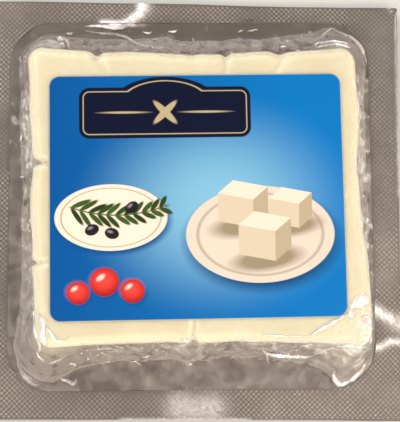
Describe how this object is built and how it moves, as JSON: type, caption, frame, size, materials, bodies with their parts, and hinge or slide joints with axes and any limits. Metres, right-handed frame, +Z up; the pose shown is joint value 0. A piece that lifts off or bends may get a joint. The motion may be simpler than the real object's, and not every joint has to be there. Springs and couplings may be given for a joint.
{
  "type": "vacuum-packed feta block",
  "caption": "Block of feta cheese sealed under clear film on a grey backing web with a flat welded edge and a label on its face.",
  "frame": {"origin": "middle of the pack's footprint, at the height of the surface it lies on", "axes": "+Z up out of the labelled face, +Y towards the label's top edge, +X towards the label's right edge"},
  "size_m": [0.1309, 0.132, 0.0259],
  "materials": {
    "packed_cheese": "clear glossy film over cream cheese, grey at the welded edge",
    "label": "smooth printed label, semi-gloss"
  },
  "bodies": {
    "root": {"sealed_pack": "packed_cheese", "label": "label"}
  },
  "joints": []
}
